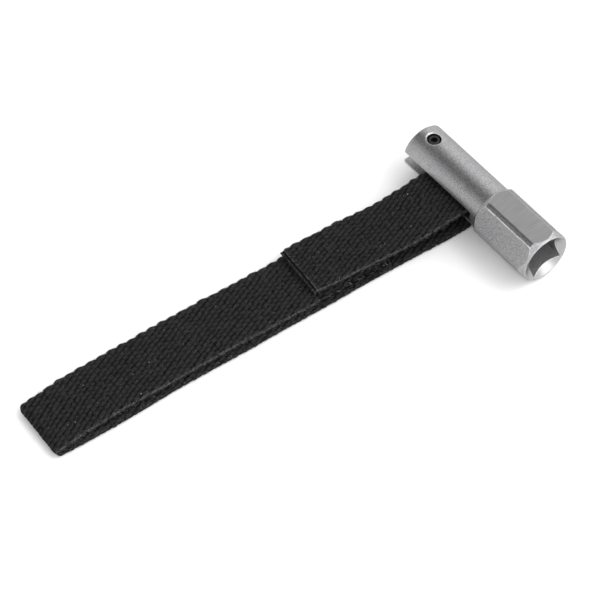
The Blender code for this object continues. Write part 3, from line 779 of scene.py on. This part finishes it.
def steel_material():
    """Plated steel: blasted, with machined flats, a turned countersink, worn edges with a painted highlight, and
    painted light in the square socket.
    """
    n = Nodes("blasted_chrome_steel")
    place = n.put("ShaderNodeTexCoord").outputs["Object"]
    grain = n.noise(place, 4000.0, 2.0, 0.6)
    pits = n.noise(place, 1500.0, 3.0, 0.6)
    clouds = n.noise(place, 120.0, 2.0)
    lines = n.noise(n.scaled(place, (1.0, 0.03, 0.03)), 4200.0, 2.0, 0.6)
    patchy = n.noise(place, 1300.0, 3.0, 0.6)

    def zone(value, edge, start=0.0):
        return n.ramp(value, start + edge[0] * MM, start + edge[1] * MM)

    axes = n.put("ShaderNodeSeparateXYZ", {"Vector": place}).outputs
    side, height = n.minus(axes["Y"], ZERO.y), n.minus(axes["Z"], ZERO.z)
    above = n.math("ABSOLUTE", height)
    radius = n.length(side, height)
    on_hex = zone(axes["X"], HEX_FACE, ZERO.x)
    # the top and bottom flats are machined, with fine lines across them; the rest is blasted
    machined = n.times(zone(above, FLAT_FACE), on_hex)
    # the countersink and the screw hole are bright, straight from the cutter
    cone = n.plus(radius, n.times(n.minus(ZERO.x + BODY_LENGTH * MM, axes["X"]), COUNTERSINK_SLOPE))
    cone = n.math("ABSOLUTE", n.minus(cone, COUNTERSINK_RADIUS * MM))
    from_screw = n.length(n.minus(axes["X"], SCREW_AXIS_X), side)
    turned = n.math("MAXIMUM", zone(cone, COUNTERSINK_SKIN), zone(from_screw, SCREW_HOLE))
    in_socket = n.times(zone(radius, SOCKET_WALLS), zone(axes["X"], SOCKET_DEPTHS, ZERO.x))

    blasted = n.times(n.minus(1.0, machined), n.ramp(turned, 0, 1, 1.0, 0.12))
    rough_height = n.plus(n.times(grain, 0.85), n.times(pits, 0.6))
    relief = n.plus(n.times(rough_height, blasted), n.times(lines, n.times(machined, 0.16)))
    rounded = n.put("ShaderNodeBevel", {"Radius": EDGE_ROUNDING * MM}, samples=6).outputs[0]
    bump_inputs = {"Height": relief, "Strength": 1.0, "Distance": 0.0001, "Normal": rounded}
    bump = n.put("ShaderNodeBump", bump_inputs).outputs[0]
    normal = n.put("ShaderNodeNewGeometry").outputs["Normal"]
    # the edges are lighter: wear, and a painted highlight along them
    facing = n.put("ShaderNodeVectorMath", {0: rounded, 1: normal}, operation="DOT_PRODUCT").outputs["Value"]
    worn_and_highlit = n.times(n.ramp(facing, 0.998, 0.972), n.ramp(patchy, 0.36, 0.58, 0.1, 1.0))
    # the hexagon's corner strips: a painted highlight line beside the blasted flats, a dark line painted beside the
    # machined ones
    on_strip = n.times(zone(radius, STRIP_RADII), on_hex)
    painted_highlight = n.times(zone(n.math("ABSOLUTE", n.minus(above, HIGHLIGHT_HEIGHT * MM)), HIGHLIGHT_WIDTHS), on_strip)
    painted_highlight = n.times(painted_highlight, n.ramp(patchy, 0.38, 0.5))
    dark_line = n.times(zone(above, DARK_LINE_HEIGHTS), n.times(on_strip, n.minus(1.0, machined)))
    dent = n.put("ShaderNodeTexVoronoi", {"Vector": place, "Scale": 210.0, "Randomness": 1.0}).outputs["Distance"]

    tone = n.plus(n.times(clouds, 0.04), n.plus(n.times(pits, 0.08), n.times(grain, 0.88)))
    colour = n.mix(n.ramp(tone, 0.42, 0.58), grey(0.215, 0.005), grey(0.425, 0.005))
    colour = n.mix(n.times(on_strip, 0.35), colour, grey(0.19))
    # painted light: the square socket's walls, which lie in shade, are painted much lighter
    colour = n.mix(n.times(in_socket, 0.9), colour, grey(0.72))
    colour = n.mix(machined, colour, n.mix(n.ramp(lines, 0.35, 0.65), grey(0.305, 0.005), grey(0.245, 0.005)))
    colour = n.mix(n.ramp(dent, 0.075, 0.035, 0.0, 0.45), colour, grey(0.12))
    colour = n.mix(turned, colour, grey(0.36))
    colour = n.mix(n.times(dark_line, 0.8), colour, grey(0.10))
    # painted highlight on the edges and on the strips' lines, with the edges' wear
    colour = n.mix(n.times(n.math("MAXIMUM", worn_and_highlit, painted_highlight), 0.85), colour, grey(0.85))
    return n.set(
        Base_Color=colour,
        Metallic=1.0,
        Roughness=n.plus(n.ramp(grain, 0.3, 0.7, 0.24, 0.34), n.times(machined, 0.04)),
        Normal=bump,
        Specular_Tint=(*grey(0.6), 1.0),
    )


def black_steel_material():
    """Steel blackened by oxide, a little worn."""
    n = Nodes("black_oxide_steel")
    place = n.put("ShaderNodeTexCoord").outputs["Object"]
    noise = n.noise(place, 1500.0, 3.0)
    wear = n.noise(place, 420.0, 2.0)
    bump = n.put("ShaderNodeBump", {"Height": noise, "Strength": 0.3, "Distance": 0.00004}).outputs[0]
    return n.set(
        Base_Color=n.mix(n.ramp(wear, 0.35, 0.7), grey(0.006, 0.0005), grey(0.022, 0.0005)),
        Metallic=0.4,
        Roughness=n.ramp(noise, 0.3, 0.7, 0.32, 0.5),
        Normal=bump,
        Specular_IOR_Level=0.5,
    )


# the webbing's last colour is its painted highlight
WEBBING = webbing_material("black_webbing", grey(0.0005, 0.0001), grey(0.0305, 0.0005), grey(0.14))
FIBRE = fibre_material("loose_fibre", grey(0.05), grey(0.13), 0.6)
LINT = fibre_material("lint", grey(0.25), grey(0.5), 0.8)
THREAD = fibre_material("sewing_thread", grey(0.002), grey(0.024), 0.75, 0.01, 0.1)
STEEL = steel_material()
BLACK_STEEL = black_steel_material()
CLOTH = [WEBBING, FIBRE, LINT]


# ---------------------------------------------------------------- strap pieces
def place(x, y, z):
    """A world point, from mm from the working zero."""
    return ZERO + Vector((x, y, z)) * MM


LAP_SPLIT_Y = -36.0
MID_SPLIT_Y = -110.0
FIRST_SEED, SEED_STEP = 100, 10

s_top = s_where(LAP_SPLIT_Y, "top")
s_low = s_where(LAP_SPLIT_Y, "lower")
s_mid_low = s_where(MID_SPLIT_Y, "lower")
s_mid_up = s_where(MID_SPLIT_Y, "upper")

# name, start and end along the webbing, (first body, second body, y where the bend between them starts, y where it
# ends), and the nodes that it stands for
sections = [
    ("strap_lap_end", 0.0, s_top, None, ["strap_top_layer"]),
    ("strap_round_shank", s_top, s_low, ("strap_base", "strap_near", -8.0, -24.0), ["strap_wrap"]),
    (
        "strap_lower_run",
        s_low,
        s_mid_low,
        ("strap_near", "strap_mid", -76.0, -92.0),
        ["strap_near_lower", "strap_mid_lower"],
    ),
    ("strap_folded_end", s_mid_low, s_mid_up, ("strap_mid", "strap_far", -128.0, -144.0), ["strap_far_fold"]),
    (
        "strap_upper_run",
        s_mid_up,
        STRAP_LENGTH,
        ("strap_mid", "strap_near", -92.0, -76.0),
        ["strap_lap_underlay", "strap_mid_upper"],
    ),
]
for number, (name, s0, s1, bend, stands_for) in enumerate(sections):
    piece = webbing_piece(name, s0, s1, CLOTH, FIRST_SEED + SEED_STEP * number)
    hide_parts(*stands_for)
    if bend is None:
        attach(piece, "strap_near")
    else:
        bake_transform(piece)


# ---------------------------------------------------------------- stitching
THREAD_RADIUS = 0.18
THREAD_SIDES = 8
THREAD_SHARP_ANGLE = 50
STITCH_POINTS = 7
STITCH_GAP = 0.06  # share of the pitch left free at each end of a stitch
STITCH_SUNK_ACROSS, STITCH_SUNK_ALONG = -0.305, -0.35
STITCH_ARCH = 0.17

LOOSE_END_S, LOOSE_END_U = 3.9, 5.2
LOOSE_END_HALF_LENGTH, LOOSE_END_SWING = 1.8, 1.6
LOOSE_END_POINTS, LOOSE_END_SIDES = 13, 6
LOOSE_END_START, LOOSE_END_RISE = -0.25, 0.55
LOOSE_END_RADIUS = 0.11


def tube(points, path, radius, sides, taper=False):
    """Adds a closed round tube along the path to points, and returns its faces."""
    path = np.asarray(path, float)
    first = len(points)
    heading = np.gradient(path, axis=0)
    heading /= np.linalg.norm(heading, axis=1)[:, None]
    for k, (q, t) in enumerate(zip(path, heading)):
        side = np.cross(t, (0.0, 0.0, 1.0)) if abs(t[2]) < 0.9 else np.cross(t, (1.0, 0.0, 0.0))
        side /= np.linalg.norm(side)
        lift = np.cross(side, t)
        f = k / (len(path) - 1)
        r = radius * (math.sqrt(max(0.02, 1 - (2 * f - 1) ** 4)) if taper else 1.0)
        for m in range(sides):
            angle = 2 * math.pi * m / sides
            points.append(q + r * (side * math.cos(angle) + lift * math.sin(angle)))
    return ring_faces(first, len(path), sides)


def on_lap(s, u, height):
    """A point over the lap's outer face."""
    p, a, n = (v[0] for v in route_at([s]))
    return p + a * u * width_at([s])[0] / WEB_WIDTH + n * (WEB_HALF_THICKNESS + height)


def lap_stitching():
    """Lock stitches round the box that holds the lap, and one loose end that stands off in a small arch."""
    points, faces = [], []
    first, last, span = S_STITCH_FIRST, S_STITCH_LAST, STITCH_HALF_SPAN
    corners = [(first, -span), (first, span), (last, span), (last, -span), (first, -span)]
    for (s0, u0), (s1, u1) in zip(corners, corners[1:]):
        sunk = STITCH_SUNK_ACROSS if u0 != u1 else STITCH_SUNK_ALONG
        count = max(1, int(round(math.hypot(s1 - s0, u1 - u0) / STITCH_PITCH)))
        for k in range(count):
            path = []
            for f in np.linspace(0, 1, STITCH_POINTS):
                g = (k + STITCH_GAP + (1 - 2 * STITCH_GAP) * f) / count
                height = sunk + STITCH_ARCH * math.sin(math.pi * f) ** 0.5
                path.append(on_lap(s0 + (s1 - s0) * g, u0 + (u1 - u0) * g, height))
            faces += tube(points, path, THREAD_RADIUS, THREAD_SIDES, True)
    arch = []
    for f in np.linspace(0, 1, LOOSE_END_POINTS):
        angle = math.pi * f
        s = LOOSE_END_S - LOOSE_END_HALF_LENGTH * math.cos(angle)
        u = LOOSE_END_U - LOOSE_END_SWING * math.sin(angle)
        arch.append(on_lap(s, u, LOOSE_END_START + LOOSE_END_RISE * math.sin(angle)))
    faces += tube(points, arch, LOOSE_END_RADIUS, LOOSE_END_SIDES)
    return mesh_object("lap_stitches", points, faces, [THREAD], THREAD_SHARP_ANGLE)


stitches = lap_stitching()
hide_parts("lap_stitching")
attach(stitches, "strap_near")


# ---------------------------------------------------------------- set screw
THREAD_PITCH, THREAD_DEPTH = 0.8, 0.42
RINGS_PER_PITCH = 10
SCREW_SIDES = 48
SCREW_SHARP_ANGLE = 35
SCREW_CHAMFER = 0.55
HEX_SOCKET_DEPTH, HEX_SOCKET_FLATS = 2.4, 2.5
CUP_TAPER = 0.9
CUP_RIM = 1.35
POINT_RADIUS = 0.02  # the middle of the socket's floor and of the cup


def set_screw():
    """A threaded set screw with a hexagon socket in its top and a cup point below."""
    centre = (screw_low + screw_high) / 2
    x, y = (centre.x - ZERO.x) / MM, (centre.y - ZERO.y) / MM
    top, bottom = (screw_high.z - ZERO.z) / MM, (screw_low.z - ZERO.z) / MM
    radius = (screw_high.x - screw_low.x) / 2 / MM
    angles = np.arange(SCREW_SIDES) * 2 * math.pi / SCREW_SIDES
    rows = []

    def hexagon(scale):
        fold = (angles + math.pi / 6) % (math.pi / 3) - math.pi / 6
        return HEX_SOCKET_FLATS / 2 * scale / np.cos(fold)

    def ring(r, z):
        r = np.broadcast_to(r, angles.shape)
        z = np.broadcast_to(z, angles.shape)
        rows.append(np.stack([x + r * np.cos(angles), y + r * np.sin(angles), z], 1))

    # from the drilled point below the socket, up its walls and over the rim
    ring(POINT_RADIUS, top - HEX_SOCKET_DEPTH - 0.5)
    ring(hexagon(1.0), top - HEX_SOCKET_DEPTH)
    ring(hexagon(1.0), top - 0.16)
    ring(hexagon(1.13), top - 0.02)
    ring(hexagon(1.18), top)
    ring(radius - SCREW_CHAMFER - 0.1, top)
    ring(radius - SCREW_CHAMFER, top - 0.03)
    # down the thread, which the chamfer and the tip's taper cut off
    steps = int((top - bottom) / THREAD_PITCH * RINGS_PER_PITCH)
    for k in range(steps + 1):
        z = top - 0.05 - (top - bottom - 0.1) * k / steps
        phase = (z / THREAD_PITCH - angles / (2 * math.pi)) % 1.0
        groove = np.clip(1.25 * (1 - np.abs(2 * phase - 1)) - 0.12, 0, 1)
        to_chamfer = np.maximum(SCREW_CHAMFER - (top - z), 0)
        to_cup = np.maximum(CUP_TAPER - (z - bottom) * 1.3, 0)
        ring(np.minimum(radius - THREAD_DEPTH * groove, radius - to_chamfer - to_cup), z)
    # the cup
    ring(CUP_RIM, bottom)
    ring(CUP_RIM - 0.2, bottom + 0.02)
    ring(POINT_RADIUS, bottom + 0.75)
    faces = [face[::-1] for face in ring_faces(0, len(rows), SCREW_SIDES)]
    return mesh_object("socket_set_screw", np.concatenate(rows), faces, [BLACK_STEEL], SCREW_SHARP_ANGLE)


screw = set_screw()
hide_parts("retaining_screw")
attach(screw, "set_screw")

# ---------------------------------------------------------------- body
body = NODES["drive_body"]
body.data.materials.clear()
body.data.materials.append(STEEL)

# ---------------------------------------------------------------- studio
FLOOR_SIZE = 6.0
FLOOR_DROP = 0.0002

bpy.ops.mesh.primitive_plane_add(size=FLOOR_SIZE, location=(0, 0, -FLOOR_DROP))
floor = bpy.context.active_object
floor.name = "floor"
n = Nodes("pale_floor")
floor_noise = n.noise(n.put("ShaderNodeTexCoord").outputs["Object"], 3.0)
floor_colour = n.mix(floor_noise, grey(0.965), grey(0.98))
floor.data.materials.append(n.set(Base_Color=floor_colour, Roughness=0.9, Specular_IOR_Level=0.1))


def area_light(name, location, target, size, power):
    data = bpy.data.lights.new(name, "AREA")
    data.shape = "RECTANGLE"
    data.size, data.size_y = size
    data.energy = power
    obj = bpy.data.objects.new(name, data)
    obj.location = location
    obj.rotation_mode = "QUATERNION"
    obj.rotation_quaternion = (Vector(target) - Vector(location)).to_track_quat("-Z", "Y")
    bpy.context.scene.collection.objects.link(obj)
    return obj


area_light("key_softbox", (1.3, 1.5, 2.3), (0, 0, 0), (2.4, 2.4), 33)

# The studio is pale all round. The shank mirrors the darker panel, low on the strap's side the room is a little
# darker, and the countersink mirrors the bright one: (centre, degrees to its full part, degrees to its rim, change).
WALL_LEVEL = 1.51
PANELS = [
    ((-0.479, -0.185, 0.858), 4, 46, -1.39),
    ((-0.45, -0.87, -0.15), 15, 60, -0.45),
    ((0.955, 0.2, 0.14), 4, 26, 2.2),
]
world = bpy.data.worlds.new("studio")
world.use_nodes = True
sky = world.node_tree
background = sky.nodes["Background"]
direction = sky.nodes.new("ShaderNodeTexCoord").outputs["Generated"]


def sky_patch(centre, inner_degrees, outer_degrees, share):
    """A value that is share inside a soft round patch of the sky, and 0 outside it."""
    dot = sky.nodes.new("ShaderNodeVectorMath")
    dot.operation = "DOT_PRODUCT"
    dot.inputs[1].default_value = Vector(centre).normalized()
    sky.links.new(direction, dot.inputs[0])
    fade = sky.nodes.new("ShaderNodeMapRange")
    fade.interpolation_type = "SMOOTHSTEP"
    sky.links.new(dot.outputs["Value"], fade.inputs["Value"])
    fade.inputs["From Min"].default_value = math.cos(math.radians(outer_degrees))
    fade.inputs["From Max"].default_value = math.cos(math.radians(inner_degrees))
    fade.inputs["To Max"].default_value = share
    return fade.outputs["Result"]


def sky_sum(a, b):
    """The sum of two values, each a number or another node's output."""
    total = sky.nodes.new("ShaderNodeMath")
    total.operation = "ADD"
    for socket, value in zip(total.inputs, (a, b)):
        if isinstance(value, float):
            socket.default_value = value
        else:
            sky.links.new(value, socket)
    return total.outputs[0]


level = WALL_LEVEL
for panel in PANELS:
    level = sky_sum(level, sky_patch(*panel))
sky.links.new(level, background.inputs["Strength"])
background.inputs["Color"].default_value = (1, 1, 1, 1)
bpy.context.scene.world = world
bpy.context.scene.view_settings.view_transform = "Standard"

# ---------------------------------------------------------------- camera
CAMERA_AZIMUTH = math.radians(51.59)
CAMERA_ELEVATION = math.radians(52.32)
CAMERA_DISTANCE = 1.0569
CAMERA_TARGET = (26.74, -82.58, 0)
CAMERA_LENS, CAMERA_SENSOR = 177.2, 36.0
CAMERA_CLIP = (0.05, 20)

back = Vector(
    (
        math.sin(CAMERA_AZIMUTH) * math.cos(CAMERA_ELEVATION),
        -math.cos(CAMERA_AZIMUTH) * math.cos(CAMERA_ELEVATION),
        math.sin(CAMERA_ELEVATION),
    )
)
camera_data = bpy.data.cameras.new("camera")
camera_data.lens = CAMERA_LENS
camera_data.sensor_width = CAMERA_SENSOR
camera_data.clip_start, camera_data.clip_end = CAMERA_CLIP
camera = bpy.data.objects.new("camera", camera_data)
camera.rotation_mode = "QUATERNION"
camera.rotation_quaternion = (-back).to_track_quat("-Z", "Y")
camera.location = place(*CAMERA_TARGET) + back * CAMERA_DISTANCE
bpy.context.scene.collection.objects.link(camera)
bpy.context.scene.camera = camera
